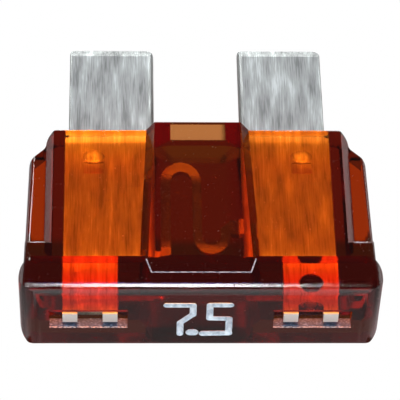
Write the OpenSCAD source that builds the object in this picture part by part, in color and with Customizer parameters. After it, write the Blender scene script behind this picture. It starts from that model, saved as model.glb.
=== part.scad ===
// Automotive blade fuse, regular size, lying flat: X across the two blades,
// Y from the thick head to the blade tips, Z through the thickness.
// The origin is under the middle of the fuse, on the surface that it lies on.

/* [Head] */
// Width of the thick head
head_w = 19.1; // [18.6:0.1:20]
// Thickness of the head
head_t = 5.1; // [4.8:0.1:5.6]
// Depth of the head along the blades
head_d = 2.25; // [2.25:0.05:2.4]
// Plan radius of the two corners at the end face
head_front_r = 1.25; // [0.9:0.05:1.25]
// Plan radius of the two corners towards the blades
head_rear_r = 1; // [0.4:0.05:1]
// Rounding of the long edges round the end face
head_edge_r = 0.55; // [0.4:0.05:0.65]
// Rounding of the edges on the two narrow sides
head_side_r = 0.7; // [0.4:0.05:0.9]

/* [Plate] */
// Length of the housing from the end face to its open end
body_l = 11.85; // [11.5:0.05:12.4]
// Thickness of the housing over the blades
plate_t = 2.8; // [2.5:0.05:3]
// Width of the neck at the open end
neck_w = 16.6; // [16.3:0.1:17]
// Plan radius of the neck's corners
neck_r = 0.8; // [0.6:0.05:1.1]
// Rounding of the long edges at the open end
end_edge_r = 0.1; // [0.05:0.05:0.45]

/* [Side wings] */
// Width over both wings where they leave the head
wing_w = 18.7; // [18.3:0.02:18.8]
// Thickness of the wings
wing_t = 2; // [1.7:0.05:2.2]
// Mould draft of the wings' outer sides, in degrees
wing_draft = 1.1; // [0:0.1:2]
// Rounding of the wings' outer edges
wing_edge_r = 0.3; // [0.1:0.05:0.5]
// Distance from the open end back to the middle of the shoulder's outer curve
shoulder_back = 2.25; // [2.1:0.05:2.8]
// Radius of the shoulder's outer curve
shoulder_r = 0.9; // [0.7:0.05:1]
// Radius of the shoulder's hollow curve beside the neck
shoulder_hollow_r = 0.6; // [0.3:0.05:0.8]
// Length of the full-thickness block between the head and the thin wings
wing_block_l = 2.15; // [1.5:0.05:3]

/* [Centre hump] */
// Thickness of the housing over the fuse link
hump_t = 4.08; // [3.9:0.02:4.4]
// Width of the hump's flat top at the open end
hump_w = 4.72; // [4.4:0.02:4.9]
// Width of each sloping side of the hump, seen from above
hump_slope_w = 0.45; // [0.3:0.05:0.6]
// Taper of each side of the hump towards the open end, in degrees
hump_draft = 2.5; // [0:0.1:3]

/* [Ramp in the head] */
// Distance of the ramp's upper edge from the end face
ramp_y = 1.27; // [1.1:0.01:1.4]
// Run of the ramp along the blades
ramp_run = 0.9; // [0.7:0.05:0.95]
// Width of the ramp at its upper edge
ramp_w = 5.13; // [4.9:0.01:5.4]
// Flare of each side of the ramp, in degrees
ramp_flare = 17.5; // [10:0.5:20]

/* [Test slots] */
// Distance from the middle to the nearer end of a test slot
test_slot_x = 3.84; // [3.6:0.02:4]
// Length of a test slot
test_slot_w = 4.12; // [3.9:0.02:4.3]
// Height of a test slot
test_slot_h = 1.36; // [1.2:0.02:1.5]
// Depth of a test slot
test_slot_d = 0.55; // [0.4:0.05:0.8]

/* [Link window] */
// Width of the window's flat roof over the link
window_roof_w = 3; // [2.8:0.1:3.4]
// Height of the window inside
window_h = 1.5; // [1.2:0.1:2.8]
// Height of the window's mouth at the open end
mouth_h = 3.3; // [3.15:0.05:3.5]
// Depth of that mouth
mouth_d = 1.1; // [0.6:0.1:1.5]

/* [Stamped element] */
// Length of the whole fuse from the end face to the blade tips
overall_l = 18.7; // [18.3:0.1:19.2]
// Thickness of the sheet that the blades are stamped from
metal_t = 0.65; // [0.6:0.01:0.7]
// Width of one blade
blade_w = 4.72; // [4.5:0.02:4.8]
// Gap between the two blades
blade_gap = 4.76; // [4.6:0.02:5]
// Ledge at the blade's outer edge where it enters the housing
blade_ledge = 0.16; // [0.1:0.02:0.25]
// Distance of that ledge inside the open end
blade_ledge_inset = 0.3; // [0.1:0.05:0.5]
// Plan radius of each blade tip's left corner
tip_left_r = 0.28; // [0.2:0.02:0.6]
// Plan radius of each blade tip's right corner
tip_right_r = 0.46; // [0.2:0.02:0.6]
// Rounding of the blades' outer edges
blade_edge_r = 0.1; // [0.05:0.01:0.2]
// Rounding of the blades' inner edges, where the shear drew the sheet down
inner_edge_r = 0.28; // [0.1:0.02:0.3]
// Slope that thins the tips, along the blade
tip_bevel_l = 0.5; // [0.2:0.05:0.8]
// Thickness that the slope takes from each face
tip_bevel_t = 0.12; // [0.05:0.01:0.18]
// Distance from the end face to the shoulder inside the head
shoulder_y = 3.3; // [3.1:0.05:3.6]

/* [Test prongs] */
// Distance of the prongs' ends from the housing's end face
prong_inset = 0.1; // [0.05:0.05:0.3]
// Width of one prong
prong_w = 0.78; // [0.7:0.02:0.9]
// Width of the round-ended notch between two prongs
notch_w = 1.33; // [1.2:0.01:1.4]
// Length of that notch
notch_l = 1.9; // [1.6:0.05:2.2]

/* [Fuse link] */
// Width of the link's strand
link_w = 0.5; // [0.4:0.02:0.56]
// Thickness of the link
link_t = 0.3; // [0.2:0.02:0.4]
// Distance of the first strand from the middle, on the left
link_left_x = 1.83; // [1.75:0.01:1.9]
// Distance of the middle strand from the middle, to the left
link_mid_x = 0.09; // [0:0.01:0.15]
// Distance of the last strand from the middle, on the right
link_right_x = 1.45; // [1.4:0.01:1.55]
// Distance from the end face to the centre of the far bend
link_far_y = 8.7; // [8.4:0.05:9]
// Distance from the end face to the centre of the near bend
link_near_y = 4.9; // [4.7:0.05:5.1]
// Radius of the bend where the link leaves the left blade
link_root_r = 0.4; // [0.3:0.02:0.5]
// Distance from the end face to the far edge of the link's joint with the right blade
link_end_y = 6; // [5.8:0.05:6.3]
// Length of that joint along the blade
link_joint_l = 1; // [0.8:0.05:1.2]
// Gap between the joint and the last strand at the joint's near corner
link_joint_gap = 0.2; // [0.1:0.02:0.3]

/* [Stakes] */
// Distance of a stake from the middle of the fuse
stake_x = 5.7; // [5.5:0.05:5.9]
// Distance of a stake from the end face
stake_y = 9.6; // [9.4:0.1:10.2]
// Width of a stake across the blade
stake_w = 1.05; // [0.9:0.05:1.2]
// Length of a stake along the blade
stake_l = 0.7; // [0.6:0.05:1]
// Distance from a stake to the middle of the dish that the staking tool presses
dish_offset = 0.28; // [0:0.02:0.4]
// Width of that dish
dish_w = 1; // [0.8:0.05:1.2]
// Depth of that dish
dish_d = 0.17; // [0.1:0.01:0.3]

/* [Fits] */
// Clearance between the element and the housing in the sheet's plane
side_clearance = 0.05; // [0.03:0.01:0.08]
// Clearance between the element's faces and the housing
face_clearance = 0.03; // [0.02:0.01:0.05]

/* [Hidden] */
$fn = 64;

// Cutters reach this far past the faces that they cut
over = 2;
far = 30;
// Neighbouring shapes of one solid share this much
lap = 0.2;

wing_step = (plate_t - wing_t) / 2;
wing_block_y = head_d + wing_block_l;
shoulder_y0 = body_l - shoulder_back;
wing_half_end = wing_w / 2 - (shoulder_y0 - head_d) * tan(wing_draft);
shoulder_cx = wing_half_end - shoulder_r;
shoulder_touch = shoulder_r * cos(45);
shoulder_sum = shoulder_cx + shoulder_y0 + 2 * shoulder_touch;
hollow_cx = neck_w / 2 + shoulder_hollow_r;
hollow_cy = shoulder_sum + shoulder_hollow_r * sqrt(2) - hollow_cx;
hollow_touch = shoulder_hollow_r * cos(45);
hump_half_base = hump_w / 2 + hump_slope_w;
hump_rise = (hump_t - plate_t) / 2;
blade_inner_x = blade_gap / 2;
blade_outer_x = blade_inner_x + blade_w;
metal_outer_x = blade_outer_x + blade_ledge;
prong_inner_x = metal_outer_x - 2 * prong_w - notch_w;
blade_root_y = body_l - blade_ledge_inset;
far_bend_r = (link_left_x - link_mid_x) / 2;
near_bend_r = (link_right_x + link_mid_x) / 2;
link_root_y = shoulder_y + link_w / 2;
dish_r = (dish_w * dish_w / 4 + dish_d * dish_d) / (2 * dish_d);

// Raises a fuse drawn round its middle plane to where it lies, centred on its length
module lay_down() {
    translate([0, -overall_l / 2, head_t / 2]) children();
}

// Extrudes a drawing of X and Z from y0 to y1
module along_y(y0, y1) {
    translate([0, y1, 0]) rotate([90, 0, 0]) linear_extrude(y1 - y0) children();
}

// Extrudes a drawing of Y and Z from x0 to x1
module along_x(x0, x1) {
    translate([x0, 0, 0]) rotate([90, 0, 90]) linear_extrude(x1 - x0) children();
}

// Extrudes a drawing of X and Y to both sides of the middle plane
module through(t) {
    translate([0, 0, -t / 2]) linear_extrude(t) children();
}

module both_sides() {
    children();
    mirror([1, 0, 0]) children();
}

module both_faces() {
    children();
    mirror([0, 0, 1]) children();
}

// Rectangle from corner a to corner b with round corners, drawn with true arcs
module rounded(a, b, r) {
    translate([a[0] + r, a[1]]) square([b[0] - a[0] - 2 * r, b[1] - a[1]]);
    translate([a[0], a[1] + r]) square([b[0] - a[0], b[1] - a[1] - 2 * r]);
    for (x = [a[0] + r, b[0] - r], y = [a[1] + r, b[1] - r])
        translate([x, y]) circle(r);
}

// Outline of the head seen from above
module head_plan() {
    w = head_w / 2;
    intersection() {
        rounded([-w, 0], [w, far], head_front_r);
        rounded([-w, -far], [w, head_d], head_rear_r);
    }
}

// Thick head: its outline, with the edges rounded on all four sides
module head() {
    intersection() {
        through(head_t) head_plan();
        along_x(-far, far)
            rounded([0, -head_t / 2], [head_d + over, head_t / 2], head_edge_r);
        along_y(-over, far)
            rounded([-head_w / 2, -head_t / 2], [head_w / 2, head_t / 2], head_side_r);
    }
}

// Neck outline: from inside the head to the open end, with round corners
module neck_plan() {
    w = neck_w / 2;
    translate([-w, head_d - lap]) square([neck_w, body_l - neck_r - head_d + lap]);
    translate([-w + neck_r, head_d]) square([neck_w - 2 * neck_r, body_l - head_d]);
    for (s = [-1, 1])
        translate([s * (w - neck_r), body_l - neck_r]) circle(neck_r);
}

// One wing's outline, with the shoulder's two curves that lead to the neck
module wing_plan() {
    difference() {
        union() {
            polygon([
                [0, head_d - lap],
                [wing_w / 2, head_d - lap],
                [wing_w / 2, head_d],
                [wing_half_end, shoulder_y0],
                [shoulder_cx + shoulder_touch, shoulder_y0 + shoulder_touch],
                [hollow_cx - hollow_touch, hollow_cy - hollow_touch],
                [hollow_cx, hollow_cy],
                [neck_w / 2 - lap, hollow_cy],
                [0, shoulder_y0],
            ]);
            translate([shoulder_cx, shoulder_y0]) circle(shoulder_r);
        }
        translate([hollow_cx, hollow_cy]) circle(shoulder_hollow_r);
    }
}

// Room to one side of a wall at x that leans in by the draft towards the open end
module drafted_side(x, draft, half_t, edge_r) {
    translate([x, head_d, 0]) rotate([0, 0, draft])
        along_y(-over, far) rounded([-far, -half_t], [0, half_t], edge_r);
}

// Plate over the blades: full thickness to the neck's sides, thin in the wings
module plate() {
    intersection() {
        through(plate_t) neck_plan();
        along_x(-far, far)
            rounded([-over, -plate_t / 2], [body_l, plate_t / 2], end_edge_r);
        along_y(-over, far) neck_section();
    }
    both_sides() intersection() {
        through(wing_t) wing_plan();
        drafted_side(wing_w / 2, wing_draft, wing_t / 2, wing_edge_r);
    }
    both_sides() intersection() {
        translate([0, head_d - lap, -plate_t / 2])
            cube([wing_w / 2, wing_block_l + lap, plate_t]);
        drafted_side(wing_w / 2, wing_draft, plate_t / 2, wing_edge_r);
        along_x(-far, far) wing_block_section();
    }
}

// The neck's cross-section, whose long sides slope down to the wings
module neck_section() {
    w = neck_w / 2;
    t = plate_t / 2;
    polygon([
        [-w, -t + wing_step], [-w + wing_step, -t],
        [w - wing_step, -t], [w, -t + wing_step],
        [w, t - wing_step], [w - wing_step, t],
        [-w + wing_step, t], [-w, t - wing_step],
    ]);
}

// The full-thickness block beside the head, sloping down to the thin wing
module wing_block_section() {
    t = plate_t / 2;
    polygon([
        [0, -t], [wing_block_y - wing_step, -t], [wing_block_y, -t + wing_step],
        [wing_block_y, t - wing_step], [wing_block_y - wing_step, t], [0, t],
    ]);
}

// Raised hump over the link, on one face, narrowing towards the open end
module hump() {
    intersection() {
        translate([-far / 2, head_d - lap, 0])
            cube([far, body_l - head_d + lap, hump_t / 2]);
        hump_side();
        mirror([1, 0, 0]) hump_side();
    }
}

module hump_side() {
    translate([hump_half_base, body_l, 0]) rotate([0, 0, hump_draft])
        along_y(-far, over) polygon([
            [-far, 0], [0, 0], [0, plate_t / 2],
            [-hump_slope_w, plate_t / 2 + hump_rise],
            [-hump_slope_w, far], [-far, far],
        ]);
}

// Ramp cut into the head, from the head's face down to the hump's top
module ramp_cut() {
    intersection() {
        along_x(-far, far) polygon([
            [ramp_y, head_t / 2], [ramp_y, head_t],
            [far, head_t], [far, hump_t / 2],
            [ramp_y + ramp_run, hump_t / 2],
        ]);
        linear_extrude(head_t) ramp_plan();
    }
}

module ramp_plan() {
    reach = head_d + over - ramp_y;
    flare = reach * tan(ramp_flare);
    polygon([
        [-ramp_w / 2, ramp_y], [ramp_w / 2, ramp_y],
        [ramp_w / 2 + flare, ramp_y + reach], [-ramp_w / 2 - flare, ramp_y + reach],
    ]);
}

// Room for the link: flat roof, sloping sides, and a higher mouth at the open end
module window_cut() {
    y0 = shoulder_y - side_clearance;
    along_y(y0, body_l + over) window_section(window_h);
    along_y(body_l - mouth_d, body_l + over) window_section(mouth_h);
}

module window_section(h) {
    slot_h = metal_t + 2 * face_clearance;
    foot = blade_inner_x;
    roof = window_roof_w / 2;
    polygon([
        [-foot, -slot_h / 2], [-roof, -h / 2], [roof, -h / 2], [foot, -slot_h / 2],
        [foot, slot_h / 2], [roof, h / 2], [-roof, h / 2], [-foot, slot_h / 2],
    ]);
}

module test_slot_cut() {
    translate([test_slot_x, -over, -test_slot_h / 2])
        cube([test_slot_w, over + test_slot_d, test_slot_h]);
}

// Sheet outline of one prong end: two prongs with a round-ended notch between
module prong_plan(gap) {
    x0 = prong_inner_x - gap;
    notch_x = metal_outer_x - prong_w - notch_w / 2;
    notch_r = notch_w / 2 - gap;
    difference() {
        translate([x0, prong_inset - gap])
            square([metal_outer_x + gap - x0, shoulder_y - prong_inset + lap]);
        translate([notch_x - notch_r, -over])
            square([2 * notch_r, over + prong_inset + notch_l - notch_w / 2]);
        translate([notch_x, prong_inset + notch_l - notch_w / 2]) circle(notch_r);
    }
}

// Sheet outline of the wide part inside the housing, up to y1
module holder_plan(gap, y1) {
    translate([blade_inner_x - gap, shoulder_y - gap])
        square([metal_outer_x - blade_inner_x + 2 * gap, y1 - shoulder_y + gap]);
}

// Slot that the stamped element slides into from the open end
module element_cut() {
    slot_h = metal_t + 2 * face_clearance;
    both_sides() through(slot_h) {
        prong_plan(side_clearance);
        holder_plan(side_clearance, body_l + over);
    }
    through(slot_h) translate([-blade_outer_x, shoulder_y - side_clearance])
        square([2 * blade_outer_x, body_l + over - shoulder_y]);
}

module stake_plan(gap) {
    translate([stake_x - stake_w / 2 - gap, stake_y - stake_l / 2 - gap])
        square([stake_w + 2 * gap, stake_l + 2 * gap]);
}

// Round dish that the staking tool presses into the plastic beside a stake
module stake_dish() {
    translate([stake_x, stake_y + dish_offset, plate_t / 2 - dish_d + dish_r]) sphere(dish_r);
}

// Moulded housing: one clear shell with the element's slot through it
module housing() {
    color([0.42, 0.13, 0.05]) lay_down() {
        difference() {
            union() {
                head();
                plate();
                both_faces() hump();
            }
            both_faces() ramp_cut();
            window_cut();
            element_cut();
            both_sides() test_slot_cut();
            both_sides() both_faces() stake_dish();
        }
        both_sides() through(metal_t + 2 * face_clearance) stake_plan(0);
    }
}

// Outline of the blade that starts at x0, with two different corners at its tip
module blade_plan(x0) {
    x1 = x0 + blade_w;
    intersection() {
        rounded([x0, blade_root_y - over], [x1 + over, overall_l], tip_left_r);
        rounded([x0 - over, blade_root_y - over], [x1, overall_l], tip_right_r);
        translate([x0, blade_root_y]) square([blade_w, far]);
    }
}

// One blade's outer edges, and the slopes that thin its tip from both faces
module blade(x0) {
    t = metal_t / 2;
    intersection() {
        through(metal_t) blade_plan(x0);
        along_y(blade_root_y - over, overall_l + over)
            rounded([-blade_outer_x, -t], [blade_outer_x, t], blade_edge_r);
        along_x(-far, far) polygon([
            [0, -t], [overall_l - tip_bevel_l, -t], [overall_l, -t + tip_bevel_t],
            [overall_l, t - tip_bevel_t], [overall_l - tip_bevel_l, t], [0, t],
        ]);
    }
}

// The sheet's section on one side, with its inner edge drawn down by the shear
module sheet_section() {
    rounded([blade_inner_x, -metal_t / 2], [far, metal_t / 2], inner_edge_r);
}

// A half or quarter ring of the link's strand, from angle a0 through turn degrees
module bend(r, a0, turn) {
    rotate([0, 0, a0]) rotate_extrude(angle = turn)
        translate([r - link_w / 2, -link_t / 2]) square([link_w, link_t]);
}

module strand(x, y0, y1) {
    translate([x - link_w / 2, y0, -link_t / 2]) cube([link_w, y1 - y0, link_t]);
}

// Straight strand between two points in the sheet's plane
module strut(p, q) {
    d = q - p;
    translate([p[0], p[1], -link_t / 2]) rotate([0, 0, atan2(d[1], d[0])])
        translate([0, -link_w / 2, 0]) cube([norm(d), link_w, link_t]);
}

// S-shaped link that melts: out of the left blade, over, under, into the right blade
module link() {
    root = [-link_left_x - link_root_r, link_root_y];
    turn_y = link_root_y + link_root_r;
    strut([-blade_inner_x - lap, link_root_y], root);
    translate([root[0], turn_y, 0]) bend(link_root_r, -90, 90);
    strand(-link_left_x, turn_y, link_far_y);
    translate([-link_left_x + far_bend_r, link_far_y, 0]) bend(far_bend_r, 0, 180);
    strand(-link_mid_x, link_near_y, link_far_y);
    translate([-link_mid_x + near_bend_r, link_near_y, 0]) bend(near_bend_r, 180, 180);
    strand(link_right_x, link_near_y, link_end_y - link_w);
    link_joint();
}

// Widening of the link where it runs into the right blade
module link_joint() {
    x0 = link_right_x - link_w / 2;
    near_y = link_end_y - link_joint_l;
    through(link_t) polygon([
        [x0, near_y], [x0, link_end_y - link_w],
        [x0 + link_w, link_end_y], [blade_inner_x + lap, link_end_y],
        [blade_inner_x + lap, near_y],
        [x0 + link_w + link_joint_gap, near_y],
        [x0 + link_w, near_y + link_joint_gap], [x0 + link_w, near_y],
    ]);
}

// What the rounding takes away along the inner edge of a blade and of its holder
module inner_edge_cut() {
    difference() {
        translate([blade_inner_x - over, shoulder_y - over, -metal_t])
            cube([over + inner_edge_r, overall_l + far, 2 * metal_t]);
        along_y(-far, 2 * far) sheet_section();
    }
}

// Stamped element: two blades, their test prongs and the link, in one piece
module element() {
    color([0.72, 0.73, 0.72]) lay_down() {
        difference() {
            union() {
                blade(-blade_outer_x);
                blade(blade_inner_x);
                both_sides() through(metal_t) {
                    prong_plan(0);
                    holder_plan(0, blade_root_y + lap);
                }
            }
            both_sides() through(metal_t + over) stake_plan(side_clearance);
            both_sides() inner_edge_cut();
        }
        link();
    }
}

housing();
element();
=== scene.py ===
# %% [markdown]
# # Automotive blade fuse, lying flat
# The fuse is two real pieces: a clear amber-brown plastic housing, moulded in one shot, and a
# stamped zinc element whose two blades are joined by a thin link behind the clear wall.
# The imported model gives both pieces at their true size. This script gives them their looks:
# softened edges, the engraved rating digits, clear tinted plastic and rolled, tinned metal.

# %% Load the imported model
import math

import bpy
from mathutils import Matrix, Quaternion, Vector


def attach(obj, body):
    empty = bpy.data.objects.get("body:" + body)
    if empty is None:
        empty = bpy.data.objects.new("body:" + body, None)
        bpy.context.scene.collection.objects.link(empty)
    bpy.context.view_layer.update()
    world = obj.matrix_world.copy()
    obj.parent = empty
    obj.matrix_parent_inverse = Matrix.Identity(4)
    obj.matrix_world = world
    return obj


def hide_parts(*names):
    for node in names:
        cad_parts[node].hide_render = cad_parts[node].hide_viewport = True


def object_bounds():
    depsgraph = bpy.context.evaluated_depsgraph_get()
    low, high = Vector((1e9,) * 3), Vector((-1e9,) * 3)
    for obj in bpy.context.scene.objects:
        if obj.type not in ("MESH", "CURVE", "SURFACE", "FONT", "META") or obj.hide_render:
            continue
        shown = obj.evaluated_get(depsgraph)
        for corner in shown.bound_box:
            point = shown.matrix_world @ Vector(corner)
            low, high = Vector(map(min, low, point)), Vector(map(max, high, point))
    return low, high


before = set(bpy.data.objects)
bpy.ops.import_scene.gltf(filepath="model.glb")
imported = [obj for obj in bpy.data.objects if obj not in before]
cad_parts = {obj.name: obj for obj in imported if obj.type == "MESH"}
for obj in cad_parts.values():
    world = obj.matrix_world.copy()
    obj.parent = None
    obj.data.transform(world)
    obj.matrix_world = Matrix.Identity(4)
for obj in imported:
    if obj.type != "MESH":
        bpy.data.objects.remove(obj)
cad_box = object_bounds()
low, high = (Vector(corner) for corner in cad_box)
MM = 0.001
print("fuse, mm:", [round(side / MM, 2) for side in high - low])

# %% [markdown]
# ## Camera
# The photograph looks down on the head from the front, at about 51 degrees, through a long lens
# that keeps the two blades nearly parallel. The camera was rolled a little to one side.
# Placing it by azimuth, height and distance round a point on the fuse keeps each value readable.

# %% Camera at the photograph's angle
CAMERA_AZIMUTH = math.radians(-2.81)
CAMERA_HEIGHT = math.radians(51.5)
CAMERA_ROLL = math.radians(2.28)
CAMERA_DISTANCE = 138.5 * MM
CAMERA_AIM = Vector((0.11 * MM, -1.33 * MM, 2.55 * MM))
LENS_MM = 228.5
NEAREST_SEEN = 1 * MM

back = Vector((
    math.sin(CAMERA_AZIMUTH) * math.cos(CAMERA_HEIGHT),
    -math.cos(CAMERA_AZIMUTH) * math.cos(CAMERA_HEIGHT),
    math.sin(CAMERA_HEIGHT),
))
camera_data = bpy.data.cameras.new("camera")
camera_data.lens = LENS_MM
camera_data.clip_start = NEAREST_SEEN
camera = bpy.data.objects.new("camera", camera_data)
bpy.context.scene.collection.objects.link(camera)
aim = back.to_track_quat("Z", "Y").to_matrix().to_4x4()
camera.matrix_world = (
    Matrix.Translation(CAMERA_AIM + back * CAMERA_DISTANCE)
    @ aim @ Matrix.Rotation(CAMERA_ROLL, 4, "Z")
)
bpy.context.scene.camera = camera
bpy.context.scene.view_settings.view_transform = "Standard"
print("camera at, mm:", [round(c / MM, 1) for c in camera.matrix_world.translation])

# %% [markdown]
# ## Node helpers
# Every material is a small graph of nodes. A few helpers keep the graphs short to read: one adds
# a node with its settings and input values, and the others add the nodes that are needed most.

# %% Node helpers
def add_node(tree, kind, inputs=None, **settings):
    """Adds a node, sets its properties, then fills or links the named inputs."""
    node = tree.nodes.new(kind)
    for name, value in settings.items():
        setattr(node, name, value)
    for name, value in (inputs or {}).items():
        if isinstance(value, bpy.types.NodeSocket):
            tree.links.new(value, node.inputs[name])
        else:
            node.inputs[name].default_value = value
    return node


def math_node(tree, operation, a, b=0.0):
    """Adds a Math node on two values or sockets and returns its output."""
    return add_node(tree, "ShaderNodeMath", {0: a, 1: b}, operation=operation).outputs[0]


def flat_length(tree, across, along):
    """The length of a flat vector, from its two parts."""
    squares = [math_node(tree, "MULTIPLY", part, part) for part in (across, along)]
    return math_node(tree, "SQRT", math_node(tree, "ADD", *squares))


def mixed(tree, fac, first, second):
    """Mixes two colours: the first where fac is 0, the second where it is 1."""
    return add_node(
        tree, "ShaderNodeMixRGB", {"Fac": fac, "Color1": first, "Color2": second}
    ).outputs[0]


def colour_ramp(tree, factor, stops):
    """Adds a Color Ramp over stops of (position, colour) and returns its colour."""
    node = add_node(tree, "ShaderNodeValToRGB", {"Fac": factor})
    elements = node.color_ramp.elements
    elements[0].position, elements[-1].position = stops[0][0], stops[-1][0]
    for position, _ in stops[1:-1]:
        elements.new(position)
    for element, (_, colour) in zip(elements, stops):
        element.color = (*colour, 1)
    return node.outputs["Color"]


def ramp_up(tree, value, start, end, to_min=0.0, to_max=1.0, interpolation="LINEAR"):
    """Adds a Map Range node that goes from to_min at start to to_max at end."""
    return add_node(
        tree, "ShaderNodeMapRange",
        {"Value": value, "From Min": start, "From Max": end, "To Min": to_min, "To Max": to_max},
        interpolation_type=interpolation,
    ).outputs[0]


print("ways to join colours and values:", [f.__name__ for f in (mixed, colour_ramp, ramp_up)])

# %% [markdown]
# ## Patterns on the fuse
# Rolling lines, ripples and dust belong to the fuse and not to the room, so each pattern reads
# Object coordinates. They are in metres, and each pattern's cell is given in millimetres.

# %% Patterns and new materials
def object_place(tree):
    """Object coordinates, in metres, and their X, Y and Z."""
    place = add_node(tree, "ShaderNodeTexCoord").outputs["Object"]
    return place, add_node(tree, "ShaderNodeSeparateXYZ", {0: place}).outputs


def stretched_noise(tree, place, cell, detail=3.0):
    """Noise whose cells measure cell, a length in mm along X, Y and Z."""
    spread = add_node(
        tree, "ShaderNodeMapping", {"Vector": place, "Scale": [1 / (c * MM) for c in cell]}
    ).outputs[0]
    return add_node(
        tree, "ShaderNodeTexNoise", {"Vector": spread, "Scale": 1.0, "Detail": detail}
    ).outputs["Fac"]


def new_material(name):
    """An empty node material and its output node."""
    material = bpy.data.materials.new(name)
    material.use_nodes = True
    material.node_tree.nodes.clear()
    return material, add_node(material.node_tree, "ShaderNodeOutputMaterial")


print("one cell of 1 mm is a scale of", 1 / MM)

# %% [markdown]
# ## Lamps
# The fuse is small and glossy, so what it reflects matters as much as what lights it. One bright
# strip hangs above it: its image in the rounded front edge is the white line of the photograph.
# A small violet lamp behind it colours the thin edges, and two soft fills light the rest.

# %% Lamps
NEAR_LAMP, FAR_LAMP = 0.25, 0.4
VIOLET = (0.35, 0.3, 1)


def softbox(name, azimuth, height, distance, size, radiance, tint=(1, 1, 1), slide=0.0):
    """A rectangular lamp that looks at the fuse; size is across and along its tilt.

    The slide moves it across, to its own right, after it has been aimed.
    """
    data = bpy.data.lights.new(name, "AREA")
    data.shape = "RECTANGLE"
    data.size, data.size_y = size
    data.energy = radiance * math.pi * size[0] * size[1]
    data.color = tint
    lamp = bpy.data.objects.new(name, data)
    bpy.context.scene.collection.objects.link(lamp)
    way = Vector((
        math.sin(azimuth) * math.cos(height),
        -math.cos(azimuth) * math.cos(height),
        math.sin(height),
    ))
    lamp.matrix_world = (
        Matrix.Translation(way * distance) @ way.to_track_quat("Z", "Y").to_matrix().to_4x4()
        @ Matrix.Translation((slide, 0, 0))
    )
    return lamp


lamps = [
    softbox("key_strip", 0, math.radians(86), NEAR_LAMP, (0.046, 0.165), 22, slide=1 * MM),
    softbox("violet_edge", math.pi, math.radians(68), NEAR_LAMP, (0.03, 0.04), 6, VIOLET),
    softbox("front_fill", 0, math.radians(24), FAR_LAMP, (0.7, 0.34), 1.4),
    softbox("back_fill", math.pi + 0.1, math.radians(24), FAR_LAMP, (0.3, 0.1), 8),
]
for lamp in lamps:
    # Shadow rays already carry this light through the plastic, so it isn't counted twice.
    lamp.visible_transmission = False
print("lamps:", [lamp.name for lamp in lamps])

# %% [markdown]
# ## Room
# Clear plastic and bright metal show the room round them. A white tent would be easy to make, but
# the flat faces would mirror it and look milky. So the room is dim, and dimmer overhead than at
# the horizon, and only the camera sees it white.

# %% World
HORIZON, CEILING = 0.12, 0.06
HORIZON_ENDS, CEILING_STARTS = 0.2, 0.6

world = bpy.data.worlds.new("studio")
world.use_nodes = True
bpy.context.scene.world = world
tree = world.node_tree
tree.nodes.clear()
direction = add_node(tree, "ShaderNodeTexCoord").outputs["Generated"]
upward = add_node(tree, "ShaderNodeSeparateXYZ", {0: direction}).outputs["Z"]
room = ramp_up(tree, upward, HORIZON_ENDS, CEILING_STARTS, HORIZON, CEILING)
camera_ray = add_node(tree, "ShaderNodeLightPath").outputs["Is Camera Ray"]
brightness = math_node(tree, "MAXIMUM", room, camera_ray)
sky = add_node(tree, "ShaderNodeBackground", {"Color": (1, 1, 1, 1), "Strength": brightness})
add_node(tree, "ShaderNodeOutputWorld", {"Surface": sky.outputs[0]})
print("room brightness from the horizon up:", HORIZON, "to", CEILING)

# %% [markdown]
# ## Floor seen through the plastic
# Clear coloured plastic looks dark where nothing bright stands behind it. The fuse lies in its
# own shadow, so the floor seen through it carries a painted shadow, darkest under the head. Round
# the fuse it is a painted dim grey shade that brightens to white, with painted amber light beside
# the wings and behind the mouth.
# Each place is a rectangle of the floor, and the distance to it picks the colour. The places and
# colours are set for the photograph's angle: they stand in for light that the plastic
# bends and gathers, and they are not measured.

# %% Places on the floor
EDGE = 0.1 * MM

floor_material, floor_out = new_material("pale_floor")
tree = floor_material.node_tree
_, place_xyz = object_place(tree)


def outside_patch(half_x, near_y, far_y):
    """Distance to a rectangle of the floor, given in mm and centred across, in metres."""
    middle, half_y = (near_y + far_y) / 2 * MM, (far_y - near_y) / 2 * MM
    along = math_node(tree, "SUBTRACT", place_xyz["Y"], middle)
    parts = []
    for coordinate, half in ((place_xyz["X"], half_x * MM), (along, half_y)):
        past = math_node(tree, "SUBTRACT", math_node(tree, "ABSOLUTE", coordinate), half)
        parts.append(math_node(tree, "MAXIMUM", past, 0.0))
    return flat_length(tree, *parts)


# Masks that place the painted shadow under the fuse and the painted light beside the wings and
# behind the mouth
under_head, under_plate = outside_patch(9.3, -9.2, -2.9), outside_patch(8.35, -3.0, 6.1)
outside = math_node(tree, "MINIMUM", under_head, under_plate)
open_floor = ramp_up(tree, outside, 0.0, EDGE)
beside_wings = ramp_up(tree, outside_patch(9.4, -2.9, 2.9), EDGE, 0.0)
behind_hump = ramp_up(tree, outside_patch(3.4, 4.4, 7.6), EDGE, 0.0)
behind_mouth = ramp_up(tree, outside_patch(1.55, 4.8, 6.6), EDGE, 0.0)
print("nodes that place the floor's colours:", len(tree.nodes))

# %% Painted shadow and light on the floor seen through the plastic
# Painted shadow, deepest under the head, painted amber light, and painted grey shade round the
# fuse that fades to white
PAINTED_SHADOW, DEEP_PAINTED_SHADOW, WHITE = (0.12, 0.055, 0.02), (0.05, 0.05, 0.04), (1, 1, 1)
PAINTED_AMBER_LIGHT, PAINTED_GREY_SHADE = (0.52, 0.26, 0.15), (0.38, 0.3, 0.3)
PAINTED_WING_LIGHT = (0.36, 0.17, 0.05)
RIM_REACH = 12 * MM
HEAD_SHADE_ENDS = (-3.4 * MM, -2.9 * MM)

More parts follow.
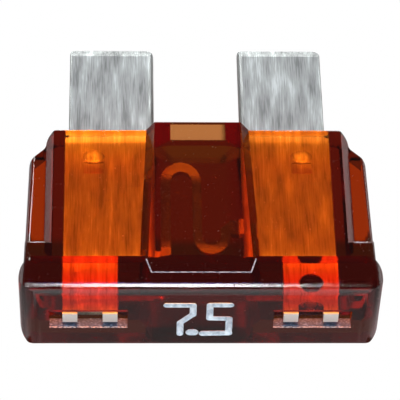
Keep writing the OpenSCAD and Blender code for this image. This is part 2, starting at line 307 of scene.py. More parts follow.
painted_rim_shade = colour_ramp(
    tree, ramp_up(tree, outside, 0.0, RIM_REACH),
    [(0.0, PAINTED_GREY_SHADE), (0.4, PAINTED_GREY_SHADE), (1.0, WHITE)],
)
painted_shade_colour = mixed(
    tree, ramp_up(tree, place_xyz["Y"], *HEAD_SHADE_ENDS), (*DEEP_PAINTED_SHADOW, 1), (*PAINTED_SHADOW, 1)
)
round_fuse = mixed(tree, beside_wings, painted_rim_shade, (*PAINTED_WING_LIGHT, 1))
seen_through = mixed(tree, open_floor, painted_shade_colour, round_fuse)
seen_through = mixed(tree, behind_hump, seen_through, (*PAINTED_SHADOW, 1))
seen_through = mixed(tree, behind_mouth, seen_through, (*PAINTED_AMBER_LIGHT, 1))
print("grey round the fuse turns white at, mm:", RIM_REACH / MM)

# %% [markdown]
# ## Floor seen by the camera
# The fuse stands on white. What can be seen of its shadow beside it is soft and short, so this
# one is a painted shadow that ends within the fuse's outline in the photograph. Only rays from
# the camera, from mirrors and through glass see these colours. Light itself falls on plain paper.

# %% Floor
SOFT_SHADOW = (0.3, 0.22, 0.19)
SHADOW_SOFTNESS = 1.25 * MM
PAPER_GREY = (0.6, 0.6, 0.6, 1)
FLOOR_SIZE, FLOOR_DROP = 2.0, 0.02 * MM

hidden = math_node(
    tree, "MINIMUM", outside_patch(7.9, -7.7, -6.0), outside_patch(6.8, -6.0, 3.2)
)
seen_directly = colour_ramp(
    tree, ramp_up(tree, hidden, 0.0, SHADOW_SOFTNESS, interpolation="SMOOTHSTEP"),
    [(0.0, SOFT_SHADOW), (1.0, WHITE)],
)
rays = add_node(tree, "ShaderNodeLightPath").outputs
floor_colour = mixed(tree, rays["Is Camera Ray"], seen_through, seen_directly)
seen = math_node(tree, "MAXIMUM", rays["Is Camera Ray"], rays["Is Glossy Ray"])
seen = math_node(tree, "MAXIMUM", seen, rays["Is Transmission Ray"])
paper = add_node(tree, "ShaderNodeBsdfDiffuse", {"Color": PAPER_GREY})
shown = add_node(tree, "ShaderNodeEmission", {"Color": floor_colour, "Strength": 1.0})
floor_mix = add_node(
    tree, "ShaderNodeMixShader", {0: seen, 1: paper.outputs[0], 2: shown.outputs[0]}
)
tree.links.new(floor_mix.outputs[0], floor_out.inputs["Surface"])

bpy.ops.object.select_all(action="DESELECT")
bpy.ops.mesh.primitive_plane_add(size=FLOOR_SIZE, location=(0, 0, -FLOOR_DROP))
floor = bpy.context.active_object
floor.name = "floor"
floor.data.materials.append(floor_material)
print("floor at, mm:", -FLOOR_DROP / MM)

# %% [markdown]
# ## Handling marks
# Nothing that has been in a toolbox is perfectly clean. Plastic, metal and paint all carry the
# same faint marks: short scratches, and specks of dust that catch the light. One node group
# makes both, so each material only says how many of them it has.

# %% Handling marks as a node group
SCRATCH_CELL, SCRATCH_TURN, SCRATCH_FADE = (0.035, 1.1, 0.035), (0.3, 0.2, 0.6), 0.05
DUST_PER_MM, SPECK_EDGE = 2.2, (0.05, 0.09)

handling_marks = bpy.data.node_groups.new("handling_marks", "ShaderNodeTree")
for name, kind in (
    ("Place", "NodeSocketVector"), ("Scratch Share", "NodeSocketFloat"),
    ("Dust Share", "NodeSocketFloat"),
):
    handling_marks.interface.new_socket(name, in_out="INPUT", socket_type=kind)
for name in ("Scratches", "Dust", "Height"):
    handling_marks.interface.new_socket(name, in_out="OUTPUT", socket_type="NodeSocketFloat")
tree = handling_marks
given = add_node(tree, "NodeGroupInput").outputs
turned = add_node(
    tree, "ShaderNodeMapping", {"Vector": given["Place"], "Rotation": SCRATCH_TURN}
).outputs[0]
lines = stretched_noise(tree, turned, SCRATCH_CELL, detail=1.0)
bare = math_node(tree, "SUBTRACT", 1.0, given["Scratch Share"])
scratches = ramp_up(tree, lines, bare, math_node(tree, "ADD", bare, SCRATCH_FADE))
cells = add_node(
    tree, "ShaderNodeTexVoronoi", {"Vector": given["Place"], "Scale": DUST_PER_MM / MM}
).outputs
near = ramp_up(tree, cells["Distance"], *SPECK_EDGE, 1.0, 0.0)
chance = add_node(tree, "ShaderNodeSeparateColor", {0: cells["Color"]}).outputs[0]
dusty = math_node(tree, "LESS_THAN", chance, given["Dust Share"])
dust = math_node(tree, "MULTIPLY", near, dusty)
height = math_node(tree, "SUBTRACT", dust, scratches)
add_node(tree, "NodeGroupOutput", {"Scratches": scratches, "Dust": dust, "Height": height})
print("node group:", handling_marks.name, "nodes:", len(tree.nodes))


def add_marks(tree, place, scratch_share, dust_share):
    """Places the group of handling marks in a material and returns its outputs."""
    return add_node(
        tree, "ShaderNodeGroup",
        {"Place": place, "Scratch Share": scratch_share, "Dust Share": dust_share},
        node_tree=handling_marks,
    ).outputs


# %% [markdown]
# ## Clear amber plastic
# The housing is polycarbonate with an amber-brown dye. Its colour comes from the depth of plastic
# that the light crosses, so the dye is a volume that absorbs blue most and red least, and the
# surface itself stays colourless. Fine ripples from the mould break the white line on the front
# edge into sparks.

# %% Plastic
PLASTIC_IOR = 1.57
PLASTIC_MARKS, MARK_RELIEF = (0.25, 0.1), 0.6
RIPPLE_CELL, RIPPLE_HEIGHT = (0.06, 0.06, 0.06), 0.003 * MM
CLEAN_ROUGHNESS, MARKED_ROUGHNESS = 0.02, 0.35

plastic, plastic_out = new_material("amber_plastic")
tree = plastic.node_tree
place, place_xyz = object_place(tree)
marks = add_marks(tree, place, *PLASTIC_MARKS)
ripples = stretched_noise(tree, place, RIPPLE_CELL, detail=2.0)
raised_marks = math_node(tree, "MULTIPLY", marks["Height"], MARK_RELIEF)
relief = math_node(tree, "ADD", ripples, raised_marks)
uneven = add_node(
    tree, "ShaderNodeBump", {"Height": relief, "Distance": RIPPLE_HEIGHT, "Strength": 1.0}
).outputs[0]
haze = math_node(tree, "MAXIMUM", marks["Scratches"], marks["Dust"])
roughness = ramp_up(tree, haze, 0, 1, CLEAN_ROUGHNESS, MARKED_ROUGHNESS)
clear = add_node(
    tree, "ShaderNodeBsdfPrincipled",
    {"Base Color": (1, 1, 1, 1), "Roughness": roughness,
     "IOR": PLASTIC_IOR, "Transmission Weight": 1.0, "Normal": uneven},
)
print("plastic bends light by:", PLASTIC_IOR)

# %% [markdown]
# ## Light inside the plastic
# Lamp rays pass the surface as if it were a thin clear film: without that, Cycles would leave the
# metal inside nearly dark. On the real fuse the rounded front edge, the rear edge and the dishes
# also gather light like lenses. Tracing such caustics takes very long, so the film lets more
# light in at those places. How much more was set from the photograph.

# %% Film that gathers light
PLAIN_FILM, HEAD_GAIN, REAR_GAIN, DISH_GAIN = 0.78, 1.5, 1.4, 1.0
HEAD_FROM_Y, TOP_FROM_Z = (-5.5 * MM, -6.0 * MM), (3.6 * MM, 4.0 * MM)
REAR_FROM_Y = (2.02 * MM, 2.12 * MM)
REAR_FADE_X, REAR_RIGHT_SHARE = (-3.0 * MM, 3.0 * MM), 0.55
DISH_GLOW_X, DISH_GLOW_Y = 5.7 * MM, 1.05 * MM
DISH_GLOW_R = (0.6 * MM, 0.3 * MM)

in_head = ramp_up(tree, place_xyz["Y"], *HEAD_FROM_Y, 0.0, HEAD_GAIN)
on_top = ramp_up(tree, place_xyz["Z"], *TOP_FROM_Z)
gather = math_node(tree, "ADD", math_node(tree, "MULTIPLY", in_head, on_top), PLAIN_FILM)
at_rear = math_node(
    tree, "MULTIPLY", ramp_up(tree, place_xyz["Y"], *REAR_FROM_Y, 0.0, REAR_GAIN),
    ramp_up(tree, place_xyz["X"], *REAR_FADE_X, 1.0, REAR_RIGHT_SHARE),
)
gather = math_node(tree, "ADD", gather, at_rear)
from_middle = math_node(tree, "ABSOLUTE", place_xyz["X"])
aside = math_node(tree, "SUBTRACT", from_middle, DISH_GLOW_X)
beyond = math_node(tree, "SUBTRACT", place_xyz["Y"], DISH_GLOW_Y)
from_dish = flat_length(tree, aside, beyond)
gather = math_node(
    tree, "ADD", gather, ramp_up(tree, from_dish, *DISH_GLOW_R, 0.0, DISH_GAIN)
)
film_colour = add_node(tree, "ShaderNodeCombineColor", {0: gather, 1: gather, 2: gather})
film = add_node(tree, "ShaderNodeBsdfTransparent", {"Color": film_colour.outputs[0]})
shadow_ray = add_node(tree, "ShaderNodeLightPath").outputs["Is Shadow Ray"]
surface = add_node(
    tree, "ShaderNodeMixShader", {0: shadow_ray, 1: clear.outputs[0], 2: film.outputs[0]}
)
tree.links.new(surface.outputs[0], plastic_out.inputs["Surface"])
print("share of lamp light let in, plain and over the head's edge:",
      PLAIN_FILM, PLAIN_FILM + HEAD_GAIN)

# %% Dye
DYE_PER_MM = (0.08, 0.9, 2.6)
DEEPEST_SHARE = 0.98


def absorption(per_mm):
    """Colour and density of a Volume Absorption node for three absorption values per mm."""
    density = max(per_mm) / DEEPEST_SHARE
    return [1 - value / density for value in per_mm] + [1], density / MM


dye_colour, dye_density = absorption(DYE_PER_MM)
dye = add_node(
    tree, "ShaderNodeVolumeAbsorption", {"Color": dye_colour, "Density": dye_density}
)
tree.links.new(dye.outputs[0], plastic_out.inputs["Volume"])
print("dye density per metre:", round(dye_density))

# %% [markdown]
# ## Tinned zinc sheet
# The element is rolled zinc with a thin coat of tin. Rolling leaves soft grey patches, drawn out
# along the blades, and fine lines over them. Only the link is different: it is coined thin and
# smooth, so it mirrors the dark inside of the housing. In its two bends it is a little duller and
# catches more of the lamp.

# %% Colour of the metal
LINK_ZONE_X = (2.1 * MM, 2.3 * MM)
PATCH_CELL, PATCH_SHARE = (0.5, 2.6, 0.5), 0.62
LINE_CELL, LINE_SHARE = (0.06, 1.5, 0.06), 0.38
METAL_MARKS = (0.3, 0.1)
SHEET_GREYS = [
    (0.36, (0.18, 0.195, 0.19)), (0.46, (0.31, 0.325, 0.32)),
    (0.55, (0.38, 0.41, 0.4)), (0.65, (0.58, 0.63, 0.62)),
]
CUT_END_Y = (-9.15 * MM, -9.2 * MM)
CUT_COLOUR, LINK_COLOUR = (0.86, 0.86, 0.83, 1), (0.62, 0.6, 0.5, 1)

metal, metal_out = new_material("tinned_zinc")
tree = metal.node_tree
place, place_xyz = object_place(tree)
patches = stretched_noise(tree, place, PATCH_CELL)
lines = stretched_noise(tree, place, LINE_CELL, detail=2.0)
marks = add_marks(tree, place, *METAL_MARKS)
rolled = math_node(
    tree, "ADD", math_node(tree, "MULTIPLY", patches, PATCH_SHARE),
    math_node(tree, "MULTIPLY", lines, LINE_SHARE),
)
sheet_colour = colour_ramp(tree, rolled, SHEET_GREYS)
cut_ends = ramp_up(tree, place_xyz["Y"], *CUT_END_Y)
sheet_colour = mixed(tree, cut_ends, sheet_colour, CUT_COLOUR)
on_sheet = ramp_up(tree, math_node(tree, "ABSOLUTE", place_xyz["X"]), *LINK_ZONE_X)
colour = mixed(tree, on_sheet, LINK_COLOUR, sheet_colour)
print("greys of the sheet:", len(SHEET_GREYS))

# %% Gloss and grain of the metal
SHEET_ROUGHNESS, LINE_RANGE = (0.55, 0.38), (0.3, 0.7)
NEAR_BEND_Y, FAR_BEND_Y = (-4.7 * MM, -5.25 * MM), (-0.75 * MM, -0.2 * MM)
LINK_ROUGHNESS, BEND_ROUGHNESS = 0.13, 0.3
LINK_METALLIC, SHEET_METALLIC = 1.0, 0.6
SCRATCH_DEPTH, GRAIN_HEIGHT = 0.3, 0.004 * MM

sheet_roughness = ramp_up(tree, lines, *LINE_RANGE, *SHEET_ROUGHNESS)
in_bends = math_node(
    tree, "MAXIMUM", ramp_up(tree, place_xyz["Y"], *NEAR_BEND_Y),
    ramp_up(tree, place_xyz["Y"], *FAR_BEND_Y),
)
link_roughness = ramp_up(tree, in_bends, 0, 1, LINK_ROUGHNESS, BEND_ROUGHNESS)
grain = math_node(
    tree, "SUBTRACT", lines, math_node(tree, "MULTIPLY", marks["Scratches"], SCRATCH_DEPTH)
)
uneven = add_node(
    tree, "ShaderNodeBump", {"Height": grain, "Distance": GRAIN_HEIGHT, "Strength": 1.0}
).outputs[0]
zinc = add_node(
    tree, "ShaderNodeBsdfPrincipled",
    {"Base Color": colour,
     "Metallic": ramp_up(tree, on_sheet, 0, 1, LINK_METALLIC, SHEET_METALLIC),
     "Roughness": ramp_up(tree, on_sheet, 0, 1, link_roughness, sheet_roughness),
     "Normal": uneven},
)
tree.links.new(zinc.outputs[0], metal_out.inputs["Surface"])
print("metal nodes:", len(tree.nodes))

# %% [markdown]
# ## Paint
# The digits are filled with pale blue-white paint. It is thinner in some places, where the dark
# plastic under it shows. One noise gives both the colour and the gloss, so thin spots are duller.

# %% Paint of the digits
PAINT_MARKS, PAINT_SCRATCH = (0.3, 0.2), 0.2
PAINT_CELL = (0.3, 0.3, 0.3)
PAINT_COLOURS = [(0.35, (0.5, 0.6, 0.7)), (0.6, (0.8, 0.9, 0.98))]
PAINT_ROUGHNESS = (0.6, 0.4)

paint, paint_out = new_material("digit_paint")
tree = paint.node_tree
place, _ = object_place(tree)
marks = add_marks(tree, place, *PAINT_MARKS)
thin = stretched_noise(tree, place, PAINT_CELL)
thin = math_node(
    tree, "SUBTRACT", thin, math_node(tree, "MULTIPLY", marks["Scratches"], PAINT_SCRATCH)
)
coat = add_node(
    tree, "ShaderNodeBsdfPrincipled",
    {"Base Color": colour_ramp(tree, thin, PAINT_COLOURS),
     "Roughness": ramp_up(tree, thin, *LINE_RANGE, *PAINT_ROUGHNESS)},
)
tree.links.new(coat.outputs[0], paint_out.inputs["Surface"])
print("paint nodes:", len(tree.nodes))

# %% [markdown]
# ## Scuffed plastic with painted sheen
# Rubbed plastic isn't clear any more: it scatters light. Its grey-blue, where it is worn lightly,
# is partly wear and partly a painted reflection, and its pale places, where it is worn most, and
# its sparks are partly wear and partly painted highlights. A rougher clear plastic would stay
# dark here, so these places get an opaque material with a fine grit.

# %% Scuffed plastic with painted sheen and highlights
SCUFF_MARKS, SCUFF_ROUGHNESS = (0.3, 0.3), (0.5, 0.3)
GRIT_CELL = (0.12, 0.05, 0.05)
WORN_AND_SHEEN_COLOURS = [
    (0.35, (0.03, 0.05, 0.09)), (0.55, (0.07, 0.11, 0.2)), (0.7, (0.26, 0.36, 0.56)),
]
PALE_WORN_AND_HIGHLIGHT, SPARK_RANGE = (0.62, 0.55, 0.57, 1), (0.42, 0.56)

painted_sheen_and_scuffs, painted_sheen_and_scuffs_out = new_material("painted_sheen_and_scuffs")
tree = painted_sheen_and_scuffs.node_tree
place, place_xyz = object_place(tree)
marks = add_marks(tree, place, *SCUFF_MARKS)
grit = stretched_noise(tree, place, GRIT_CELL)
worn_and_sheen = colour_ramp(tree, grit, WORN_AND_SHEEN_COLOURS)
# Painted highlights, partly wear: the very edge of a slot and the mould line are the whitest
at_edge = ramp_up(tree, place_xyz["Y"], low.y + 0.09 * MM, low.y + 0.06 * MM)
on_top = ramp_up(tree, place_xyz["Z"], high.z - 0.3 * MM, high.z - 0.2 * MM)
painted_highlight_place = math_node(tree, "MAXIMUM", at_edge, on_top)
sparks = ramp_up(tree, grit, *SPARK_RANGE)
worn_and_sheen = mixed(tree, math_node(tree, "MULTIPLY", painted_highlight_place, sparks), worn_and_sheen, PALE_WORN_AND_HIGHLIGHT)
frost = add_node(
    tree, "ShaderNodeBsdfPrincipled",
    {"Base Color": worn_and_sheen, "Roughness": ramp_up(tree, marks["Scratches"], 0, 1, *SCUFF_ROUGHNESS)},
)
tree.links.new(frost.outputs[0], painted_sheen_and_scuffs_out.inputs["Surface"])
print("scuffed plastic nodes:", len(tree.nodes))

# %% [markdown]
# ## Dressed pieces
# Moulded and stamped edges are never knife sharp: a tiny rounding catches a line of light.
# Each dressed piece starts as a welded copy of its CAD node, so its size can't drift.
# Flat triangles are dissolved into whole faces first, because a bevel follows real edges only.

# %% Welded copy of the housing
WELD = 0.0005 * MM
STILL_FLAT = math.radians(0.2)


def cad_copy(node, name):
    """A welded copy of a CAD node with its flat faces made whole, as a piece of its own."""
    bpy.ops.object.select_all(action="DESELECT")
    piece = bpy.data.objects.new(name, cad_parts[node].data.copy())
    bpy.context.scene.collection.objects.link(piece)
    bpy.context.view_layer.objects.active = piece
    piece.select_set(True)
    bpy.ops.object.mode_set(mode="EDIT")
    bpy.ops.mesh.select_all(action="SELECT")
    bpy.ops.mesh.customdata_custom_splitnormals_clear()
    bpy.ops.mesh.remove_doubles(threshold=WELD)
    bpy.ops.mesh.dissolve_limited(angle_limit=STILL_FLAT)
    bpy.ops.object.mode_set(mode="OBJECT")
    print(name, "faces after welding:", len(piece.data.polygons))
    return piece


housing = cad_copy("housing", "clear_housing")

# %% Tools for shaping
SHARP = math.radians(35)


def make_active(piece):
    """Leaves this piece as the only selected one."""
    bpy.ops.object.select_all(action="DESELECT")
    piece.select_set(True)
    bpy.context.view_layer.objects.active = piece


def pick_mode(piece, kind="FACE"):
    """Makes the piece active with nothing picked in it, ready to pick faces, edges or points."""
    make_active(piece)
    bpy.ops.object.mode_set(mode="EDIT")
    bpy.ops.mesh.select_mode(type=kind)
    bpy.ops.mesh.select_all(action="DESELECT")
    bpy.ops.object.mode_set(mode="OBJECT")


def apply_modifier(piece, name, kind, **settings):
    """Adds a modifier to the piece and applies it at once."""
    make_active(piece)
    step = piece.modifiers.new(name, kind)
    for setting, value in settings.items():
        setattr(step, setting, value)
    bpy.ops.object.modifier_apply(modifier=step.name)


def round_edges(piece, width, sharp_from):
    """Rounds each edge that turns by more than sharp_from."""
    apply_modifier(
        piece, "rounding", "BEVEL",
        width=width, segments=2, limit_method="ANGLE", angle_limit=sharp_from,
    )
    print(piece.name, "faces after rounding:", len(piece.data.polygons))


def shade(piece, sharp_from):
    """Shades the piece smoothly, apart from edges that turn by more than sharp_from."""
    make_active(piece)
    bpy.ops.object.shade_smooth_by_angle(angle=sharp_from)
    apply_modifier(piece, "flats", "WEIGHTED_NORMAL", keep_sharp=True)


print("edges count as sharp from, degrees:", round(math.degrees(SHARP)))

# %% [markdown]
# ## Staking
# The blades are locked by staking: a warm tool presses the plastic into a hole in each blade and
# lifts the metal beside it a little. From above, the lifted lip is a soft bright spot. The dish
# that the tool leaves in the plastic has flowed nearly flat again, so its points are drawn up.

# %% Dishes drawn up
STAKE_X = 5.7 * MM
DISH_Y, DISH_R = 0.53 * MM, 0.6 * MM
DISH_LEFT = 0.03
WING_X, WING_Y = 7 * MM, 1 * MM

plate_z = max(v.co.z for v in housing.data.vertices if abs(v.co.x) > WING_X and v.co.y > WING_Y)
bottom_z = low.z + high.z - plate_z
for side in (-1, 1):
    for face_z in (plate_z, bottom_z):
        pick_mode(housing, "VERT")
        centre = Vector((side * STAKE_X, DISH_Y, face_z))
        for vertex in housing.data.vertices:
            near = (vertex.co - centre).length < DISH_R
            vertex.select = near and abs(vertex.co.z - face_z) > WELD
        bpy.ops.object.mode_set(mode="EDIT")
        bpy.ops.transform.resize(value=(1, 1, DISH_LEFT), center_override=centre)
        bpy.ops.object.mode_set(mode="OBJECT")
print("dishes drawn up round z, mm:", round(plate_z / MM, 3), round(bottom_z / MM, 3))

# %% [markdown]
# ## Test slots
# A meter's probe reaches the metal through the two slots in the end face. A moulded slot is wider
# at its mouth, so that the tool slides out of it. Moving a few points gives that slope without
# new faces: the floor's down at the mouth, and the roof's down at the back. The sloping roof
# mirrors the metal under it, as in the photograph.

# %% Draft of the test slots
SLOT_SIDES = (3.7 * MM, 8.1 * MM)
SLOT_FLOOR_Z, SLOT_ROOF_Z = low.z + 1.87 * MM, low.z + 3.23 * MM
SLOT_DEPTH = 0.55 * MM
SLOT_DRAFT_DROP, ROOF_DROP = 0.075 * MM, 0.17 * MM
LEVEL = 0.02 * MM

drafted = 0
for vertex in housing.data.vertices:
    at_mouth = vertex.co.y < low.y + WELD and SLOT_SIDES[0] < abs(vertex.co.x) < SLOT_SIDES[1]
    if at_mouth and abs(vertex.co.z - SLOT_FLOOR_Z) < LEVEL:
        vertex.co.z -= SLOT_DRAFT_DROP
        drafted += 1
for vertex in housing.data.vertices:
    at_back = abs(vertex.co.y - low.y - SLOT_DEPTH) < LEVEL
    if at_back and abs(vertex.co.z - SLOT_ROOF_Z) < LEVEL:
        vertex.co.z -= ROOF_DROP
        drafted += 1
print("points lowered at the slots:", drafted)

# %% [markdown]
# ## Rounded edges
# A mould's corners are cut with a round tool and polished, so every edge of the housing has a
# radius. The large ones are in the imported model. A bevel modifier adds the small one to all
# edges that are still sharp, before the digits are cut, so their edges stay crisp.

# %% Rounded edges of the housing
HOUSING_ROUNDING = 0.05 * MM

round_edges(housing, HOUSING_ROUNDING, SHARP)

# %% [markdown]
# ## Rating digits
# The rating stands on the end face as shallow grooves, filled with pale blue-white paint.
# A groove is what a round stick would press into soft plastic. Each stroke starts as a ball,
# half of which is drawn out to the stroke's length, and is cut out of the housing. Where two
# strokes meet, their round ends share one centre, so the joint is smooth.

# %% Tool that cuts a groove
def round_stick(start, end, radius, depth, spin):
    """A round-ended bar from start to end, in metres, flattened along Y to the given depth.

    The spin about its own length keeps its facets off those of its neighbour.
    """
    run = end - start
    bpy.ops.object.select_all(action="DESELECT")
    bpy.ops.mesh.primitive_uv_sphere_add(segments=32, ring_count=16, radius=radius)
    bar = bpy.context.active_object
    pick_mode(bar)
    for face in bar.data.polygons:
        face.select = face.center.z > 0
    bpy.ops.object.mode_set(mode="EDIT")
    bpy.ops.mesh.extrude_region_move(TRANSFORM_OT_translate={"value": (0, 0, run.length)})
    bpy.ops.object.mode_set(mode="OBJECT")
    bar.rotation_mode = "QUATERNION"
    bar.rotation_quaternion = run.to_track_quat("Z", "Y") @ Quaternion((0, 0, 1), spin)
    bpy.ops.object.transform_apply(location=False, rotation=True, scale=False)
    bar.scale.y = depth / radius
    bar.location = start
    bpy.ops.object.transform_apply(location=True, rotation=False, scale=True)
    return bar


def groove(start, end, radius, depth, spin):
    """Cuts a round groove into the housing."""
    bar = round_stick(start, end, radius, depth, spin)
    apply_modifier(
        housing, "groove", "BOOLEAN", object=bar, operation="DIFFERENCE", solver="EXACT"
    )
    bpy.data.objects.remove(bar)


print("faces before the grooves:", len(housing.data.polygons))

# %% Engraved digits
FACE_Y = low.y
MIDDLE_Z = (low.z + high.z) / 2
GROOVE_DEPTH = 0.19 * MM
STROKE_R, HEAVY_STROKE_R, POINT_R = 0.18 * MM, 0.21 * MM, 0.27 * MM
FIRST_SPIN, SPIN_STEP = 0.03, 0.047

# Each stroke runs between two points of the face: across and up from the middle, in mm
SEVEN = [(-1.79, 1.24), (-0.41, 1.24), (-0.45, 0.40), (-1.07, -0.30), (-1.1, -1.3)]
FIVE = [(1.54, 1.26), (0.47, 1.26), (0.47, 0.09), (1.5, 0.06), (1.5, -1.24), (0.14, -1.27)]
POINT = [(-0.5, -1.17), (-0.36, -1.17)]


def on_face(point):
    """A point of the end face, in metres."""
    return Vector((point[0] * MM, FACE_Y, MIDDLE_Z + point[1] * MM))


strokes = [(a, b, STROKE_R) for path in (SEVEN, FIVE) for a, b in zip(path, path[1:])]
strokes[-1] = (*strokes[-1][:2], HEAVY_STROKE_R)
strokes.append((*POINT, POINT_R))
for count, (start, end, radius) in enumerate(strokes):
    spin = FIRST_SPIN + SPIN_STEP * count
    groove(on_face(start), on_face(end), radius, GROOVE_DEPTH, spin)
print("strokes cut:", len(strokes), "faces now:", len(housing.data.polygons))

# %% [markdown]
# ## Mould line
# Where two parts of a mould meet they leave a fine line, here round the foot of the ramp in the
# head. The tool that cut the digits draws it too, so it has real depth and can hold a pale coat,
# which is partly wear and partly a painted highlight.

# %% Mould line round the ramp
MOULD_LINE_R, MOULD_LINE_SPIN = 0.032 * MM, 0.05
RAMP_CORNER = (2.6, 1.2)
RAMP_END = (2.87, 2.05)

corners = [
    Vector((x * MM, FACE_Y + y * MM, high.z))
    for x, y in ((-RAMP_END[0], RAMP_END[1]), (-RAMP_CORNER[0], RAMP_CORNER[1]),
                 (RAMP_CORNER[0], RAMP_CORNER[1]), (RAMP_END[0], RAMP_END[1]))
]
for count, (start, end) in enumerate(zip(corners, corners[1:])):
    groove(start, end, MOULD_LINE_R, MOULD_LINE_R, MOULD_LINE_SPIN * count)
print("mould line, mm:", [[round(c / MM, 2) for c in corner] for corner in corners])

# %% [markdown]
# ## Paint, scuffs and painted sheen
# Paint fills the digits, and worn plastic with a painted sheen and painted highlights lies on the
# slots' floors and along the mould line.
# An image could be laid over the housing, but the faces that need another finish are already
# there. So they are copied, lifted by a hair and given a thickness, and each coat is a closed
# piece with a material of its own.

# %% Faces that get a coat
DIGIT_FIELD, LEAST_DEPTH, MOST_DEPTH = (2.2 * MM, 1.75 * MM), 0.001 * MM, 1.5 * GROOVE_DEPTH
SCUFF_SIDES = (3.75 * MM, 8.05 * MM)
SCUFF_FROM, SCUFF_TO = -0.01 * MM, SLOT_DEPTH - 0.05 * MM
SCUFF_LEVEL, FACES_UP = 0.15 * MM, 0.3
LINE_MARGIN = 1.04


def in_digits(face, points):
    """Whether a face lies in a groove of the digits."""
    middle = face.center
    inside = abs(middle.x) < DIGIT_FIELD[0] and abs(middle.z - MIDDLE_Z) < DIGIT_FIELD[1]
    return inside and LEAST_DEPTH < middle.y - FACE_Y < MOST_DEPTH


def on_slot_floor(face, points):
    """Whether a face is part of the floor of a test slot."""
    middle = face.center
    across = SCUFF_SIDES[0] < abs(middle.x) < SCUFF_SIDES[1]
    within = SCUFF_FROM < middle.y - FACE_Y < SCUFF_TO
    level = face.normal.z > FACES_UP and abs(middle.z - SLOT_FLOOR_Z) < SCUFF_LEVEL
    return across and within and level


def in_mould_line(face, points):
    """Whether all points of a face lie in the groove round the ramp."""
    def from_line(point):
        gaps = []
        for start, end in zip(corners, corners[1:]):
            run = end - start
            share = max(0.0, min(1.0, (point - start).dot(run) / run.length_squared))
            gaps.append((point - start - run * share).length)
        return min(gaps)
    return all(from_line(point) < LINE_MARGIN * MOULD_LINE_R for point in points)


print("paint field, mm:", [round(2 * half / MM, 2) for half in DIGIT_FIELD])

# %% Paint in the digits, scuffs with painted sheen in the slots and on the mould line
COAT_GAP = 0.002 * MM
COAT_THICKNESS = 0.012 * MM


def thin_coat(chosen, name):
    """Lifts a thin copy of the housing's chosen faces off it, as a piece of its own."""
    pick_mode(housing)
    count = 0
    for face in housing.data.polygons:
        face.select = chosen(face, [housing.data.vertices[v].co for v in face.vertices])
        count += face.select
    bpy.ops.object.mode_set(mode="EDIT")
    bpy.ops.mesh.duplicate()
    bpy.ops.mesh.separate(type="SELECTED")
    bpy.ops.object.mode_set(mode="OBJECT")
    coat = next(o for o in bpy.context.selected_objects if o != housing)
    coat.name = name
    make_active(coat)
    bpy.ops.object.mode_set(mode="EDIT")
    bpy.ops.mesh.select_all(action="SELECT")
    bpy.ops.mesh.remove_doubles(threshold=WELD)
    bpy.ops.transform.shrink_fatten(value=-COAT_GAP)
    bpy.ops.object.mode_set(mode="OBJECT")
    apply_modifier(coat, "coat", "SOLIDIFY", thickness=COAT_THICKNESS, offset=1.0)
    for vertex in coat.data.vertices:
        # No coat stands proud of the fuse's own box
        vertex.co.y = max(vertex.co.y, low.y)
        vertex.co.z = min(vertex.co.z, high.z)
    print(name, "covers", count, "faces and has", len(coat.data.polygons))
    return coat


digits = thin_coat(in_digits, "rating_digits")
slot_scuffs_and_sheen = thin_coat(on_slot_floor, "slot_scuffs_and_sheen")
mould_line = thin_coat(in_mould_line, "mould_line")
for piece in (housing, digits, slot_scuffs_and_sheen, mould_line):
    shade(piece, SHARP)

# %% [markdown]
# ## Link
# The link is coined, so its edges are rounder than the sheet's. They are picked by their place
# and by how sharply they turn, and bevelled before the modifier rounds all the others.
# Its two bends are bowed, the near one down and the far one up, so both face the head and catch
# the lamp. A flat face can't bend, so slices across the link give it points to bend at. They use
# a very small threshold: the usual 0.1 mm is large here, and left edges open beside the slices.

# %% Link edges
LINK_ROUNDING = 0.08 * MM
NEARLY_SQUARE = math.radians(80)

element = cad_copy("element", "stamped_element")
pick_mode(element, "EDGE")
turns = {}
for face in element.data.polygons:
    for key in face.edge_keys:
        turns.setdefault(key, []).append(face.normal)
picked = 0
for edge in element.data.edges:
    a, b = (element.data.vertices[v].co for v in edge.vertices)
    normals = turns[edge.key]
    sharp = len(normals) == 2 and normals[0].angle(normals[1]) > NEARLY_SQUARE
    level = abs(a.z - b.z) < WELD
    edge.select = sharp and level and max(abs(a.x), abs(b.x)) < LINK_ZONE_X[0]
    picked += edge.select
bpy.ops.object.mode_set(mode="EDIT")
bpy.ops.mesh.bevel(offset=LINK_ROUNDING, segments=3, affect="EDGES", clamp_overlap=True)
bpy.ops.object.mode_set(mode="OBJECT")
print("link edges rounded:", picked)

# %% Bowed bends of the link
SLICE_MM = 0.12
NEAR_SLICES, FAR_SLICES = range(-46, -37), range(-8, 5)
SLICE_REACH = 0.1 * WELD
BOW_FROM = (-4.6 * MM, -0.9 * MM)
BOW_PER_MM = (0.3 / MM, 0.3 / MM)

pick_mode(element)
for slice_y in [count * SLICE_MM * MM for count in (*NEAR_SLICES, *FAR_SLICES)]:
    for face in element.data.polygons:
        face.select = all(
            abs(element.data.vertices[v].co.x) < LINK_ZONE_X[0] for v in face.vertices
        )
    bpy.ops.object.mode_set(mode="EDIT")
    bpy.ops.mesh.bisect(
        plane_co=(0, slice_y, 0), plane_no=(0, 1, 0), threshold=SLICE_REACH
    )
    bpy.ops.object.mode_set(mode="OBJECT")
for vertex in element.data.vertices:
    if abs(vertex.co.x) < LINK_ZONE_X[0]:
        down = max(BOW_FROM[0] - vertex.co.y, 0)
        up = max(vertex.co.y - BOW_FROM[1], 0)
        vertex.co.z += (BOW_PER_MM[1] * up * up - BOW_PER_MM[0] * down * down) / 2
print("slices across the link:", len(NEAR_SLICES) + len(FAR_SLICES))

# %% [markdown]
# ## Prongs
# The prongs glow through the head in the photograph, as metal does that touches clear plastic.
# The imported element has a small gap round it, so here it is a little thicker inside the head.
# That the two really touch is a guess.

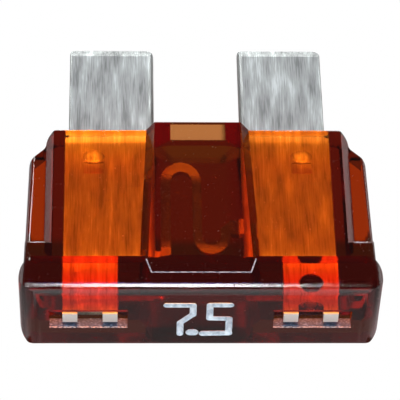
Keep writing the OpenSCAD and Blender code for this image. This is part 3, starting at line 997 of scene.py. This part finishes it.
# %% Prongs that touch the plastic
HEAD_REAR_Y = -5.5 * MM
CONTACT = 0.045 * MM

thickened = 0
for vertex in element.data.vertices:
    if vertex.co.y < HEAD_REAR_Y:
        vertex.co.z += math.copysign(CONTACT, vertex.co.z - MIDDLE_Z)
        thickened += 1
print("points moved out to touch the plastic:", thickened)

# %% [markdown]
# ## Lips and closed holes
# Beside each stake the tool has lifted a lip of metal. Each lip is a flattened ball, tilted to
# face the head, that grows out of the blade. The photograph shows no dark hole at the stakes nor
# in the inner half of the left notch, so these are closed with blocks. What the metal really
# looks like there is a guess.

# %% Lips, stake holes and left notch
METAL_TOP = MIDDLE_Z + 0.325 * MM
LIP_HALF, LIP_TILT = (0.6 * MM, 0.5 * MM, 0.09 * MM), math.radians(9)
LIP_Y, LIP_SINK = 1.0 * MM, 0.01 * MM
STAKE_HOLE_Y, HOLE_FLOOR_DROP = 0.25 * MM, 0.26 * MM
HOLE_FLOOR_SIZE = (1.3 * MM, 0.95 * MM, 0.4 * MM)
NOTCH_FILL_AT = (-5.815 * MM, -8.0 * MM, MIDDLE_Z)
NOTCH_FILL_SIZE = (1.7 * MM, 1.5 * MM, 2 * 0.369 * MM)
METAL_ROUNDING = 0.03 * MM


def weld_on(part):
    """Joins a solid to the element and removes the solid."""
    apply_modifier(element, "weld", "BOOLEAN", object=part, operation="UNION", solver="EXACT")
    bpy.data.objects.remove(part)


def weld_block(middle, size):
    """Joins a block to the element."""
    bpy.ops.object.select_all(action="DESELECT")
    bpy.ops.mesh.primitive_cube_add(size=1.0, location=middle, scale=size)
    weld_on(bpy.context.active_object)


for side in (-1, 1):
    bpy.ops.object.select_all(action="DESELECT")
    bpy.ops.mesh.primitive_uv_sphere_add(
        segments=48, ring_count=24, radius=1.0, scale=LIP_HALF, rotation=(LIP_TILT, 0, 0),
        location=(side * STAKE_X, LIP_Y, METAL_TOP - LIP_SINK),
    )
    weld_on(bpy.context.active_object)
    weld_block((side * STAKE_X, STAKE_HOLE_Y, METAL_TOP - HOLE_FLOOR_DROP), HOLE_FLOOR_SIZE)
weld_block(NOTCH_FILL_AT, NOTCH_FILL_SIZE)
round_edges(element, METAL_ROUNDING, SHARP)
shade(element, SHARP)

# %% [markdown]
# ## Materials and bodies
# A solid's mesh has no open edge, so the edges that don't have exactly two faces are counted.
# Each piece then gets its material and the body that it rides on. The
# dressed housing and element take the place of the two imported nodes.

# %% Materials and bodies
def open_edges(piece):
    """How many edges don't have exactly two faces: a solid has none."""
    uses = {}
    for face in piece.data.polygons:
        for key in face.edge_keys:
            uses[key] = uses.get(key, 0) + 1
    return sum(count != 2 for count in uses.values())


dressed = (
    (housing, plastic, "amber_plastic"),
    (digits, paint, "digit_paint"),
    (slot_scuffs_and_sheen, painted_sheen_and_scuffs, "amber_plastic"),
    (mould_line, painted_sheen_and_scuffs, "amber_plastic"),
    (element, metal, "tinned_zinc"),
)
print("open edges:", {piece.name: open_edges(piece) for piece, _, _ in dressed})
for piece, material, slot in dressed:
    piece.data.materials.clear()
    piece.data.materials.append(material)
    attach(piece, "root")
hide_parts("housing")
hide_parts("element")
